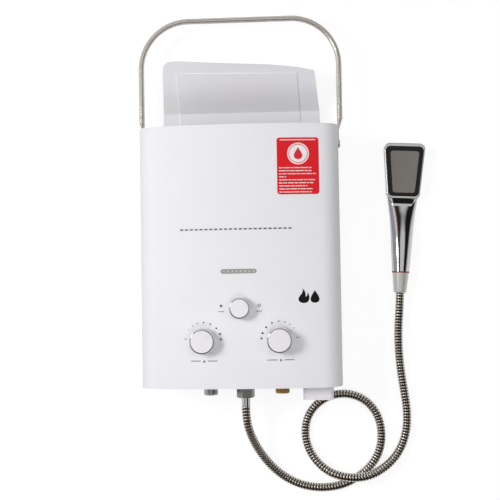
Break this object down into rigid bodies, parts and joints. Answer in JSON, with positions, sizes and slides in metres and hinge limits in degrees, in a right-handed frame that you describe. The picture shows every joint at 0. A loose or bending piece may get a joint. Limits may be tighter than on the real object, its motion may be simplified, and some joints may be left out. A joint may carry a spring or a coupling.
{
  "type": "portable propane water heater",
  "caption": "Portable tankless propane water heater in a white steel case with control knobs, swinging carrying handle, rain cap and a hand shower on a steel hose.",
  "frame": {"origin": "centre of the flat back face, which the heater lies on", "axes": "+X to the right seen from the front, +Y up the heater's height towards the handle, +Z out of the front"},
  "size_m": [0.4329, 0.7229, 0.1481],
  "materials": {
    "white_paint": "glossy white powder coat",
    "plated_steel": "plated sheet",
    "bright_steel": "bright plated",
    "grey_screen": "satin",
    "red_vinyl": "printed vinyl",
    "stainless": "drawn stainless",
    "white_plastic": "moulded, satin gloss",
    "chrome_trim": "polished plating",
    "brass_metal": "turned",
    "cast_aluminium": "die cast",
    "black_rubber": "matte",
    "black_plastic": "moulded gloss",
    "red_plastic": "moulded gloss",
    "copper": "drawn copper",
    "white_ceramic": "glazed ceramic",
    "cell_can": "sleeved can",
    "hose_steel": "interlocked stainless strip",
    "satin_nickel": "satin plated",
    "grey_plastic": "moulded"
  },
  "bodies": {
    "root": {"front_cover": "white_paint", "back_panel": "white_paint", "top_plate": "plated_steel", "bottom_plate": "white_paint", "casing_screws": "bright_steel", "rain_cap": "white_paint", "window_screen": "grey_screen", "front_label": "red_vinyl", "handle_pivots": "bright_steel", "gas_valve": "cast_aluminium", "water_valve": "cast_aluminium", "diaphragm": "black_rubber", "diaphragm_cover": "cast_aluminium", "microswitch": "black_plastic", "gas_inlet": "cast_aluminium", "cold_inlet": "brass_metal", "hot_outlet": "brass_metal", "combustion_box": "plated_steel", "burner_bars": "plated_steel", "gas_manifold": "cast_aluminium", "gas_jets": "brass_metal", "season_valve": "cast_aluminium", "exchanger_shell": "copper", "exchanger_fins": "copper", "exchanger_tube": "copper", "cold_pipe": "copper", "hot_pipe": "copper", "flue_hood": "plated_steel", "chassis_brackets": "plated_steel", "electrodes": "white_ceramic", "wiring": "red_plastic", "igniter_module": "black_plastic", "thermostat": "black_plastic", "battery_box": "white_plastic", "lid_hinge_pin": "bright_steel", "batteries": "cell_can", "battery_contacts": "bright_steel", "hose_nut": "chrome_trim", "hose_washer": "black_rubber", "hose_ferrule": "chrome_trim", "shower_hose": "hose_steel", "cone_nut": "satin_nickel", "shower_body": "chrome_trim", "shower_frame": "black_plastic", "spray_plate": "grey_plastic", "shower_ring": "red_plastic"},
    "handle": {"carry_handle": "stainless"},
    "gas_control": {"gas_knob": "white_plastic", "gas_knob_ring": "chrome_trim", "gas_spindle": "brass_metal"},
    "water_control": {"water_knob": "white_plastic", "water_knob_ring": "chrome_trim", "water_spindle": "brass_metal"},
    "season_control": {"season_knob": "white_plastic", "season_knob_ring": "chrome_trim", "season_spindle": "brass_metal"},
    "linkage": {"push_rod": "bright_steel"},
    "switch_button": {"switch_plunger": "red_plastic"},
    "lid": {"battery_lid": "white_plastic", "battery_link": "bright_steel"}
  },
  "joints": [
    {"name": "handle_swing", "type": "hinge", "parent": "root", "child": "handle", "pos_m": [0, 0.168, 0.045], "axis": [1, 0, 0], "range_deg": [-150, 150]},
    {"name": "gas_knob_turn", "type": "hinge", "parent": "root", "child": "gas_control", "pos_m": [-0.0519, -0.1196, 0.13], "axis": [0, 0, 1], "range_deg": [-45, 135]},
    {"name": "water_knob_turn", "type": "hinge", "parent": "root", "child": "water_control", "pos_m": [0.0565, -0.1191, 0.13], "axis": [0, 0, 1], "range_deg": [-45, 135]},
    {"name": "season_knob_turn", "type": "hinge", "parent": "root", "child": "season_control", "pos_m": [0.0013, -0.0738, 0.13], "axis": [0, 0, 1], "range_deg": [-45, 135]},
    {"name": "linkage_push", "type": "slide", "parent": "root", "child": "linkage", "axis": [-1, 0, 0], "range_m": [0, 0.004], "stiffness_N_per_m": 300, "springref_m": -0.002},
    {"name": "switch_press", "type": "slide", "parent": "root", "child": "switch_button", "axis": [-1, 0, 0], "range_m": [0, 0.0015]},
    {"name": "battery_lid_hinge", "type": "hinge", "parent": "root", "child": "lid", "pos_m": [0.11, -0.2045, 0.023], "axis": [1, 0, 0], "range_deg": [0, 90]}
  ],
  "couplings": [
    {"joint": "switch_press", "follows": "linkage_push", "ratio": 0.375}
  ]
}
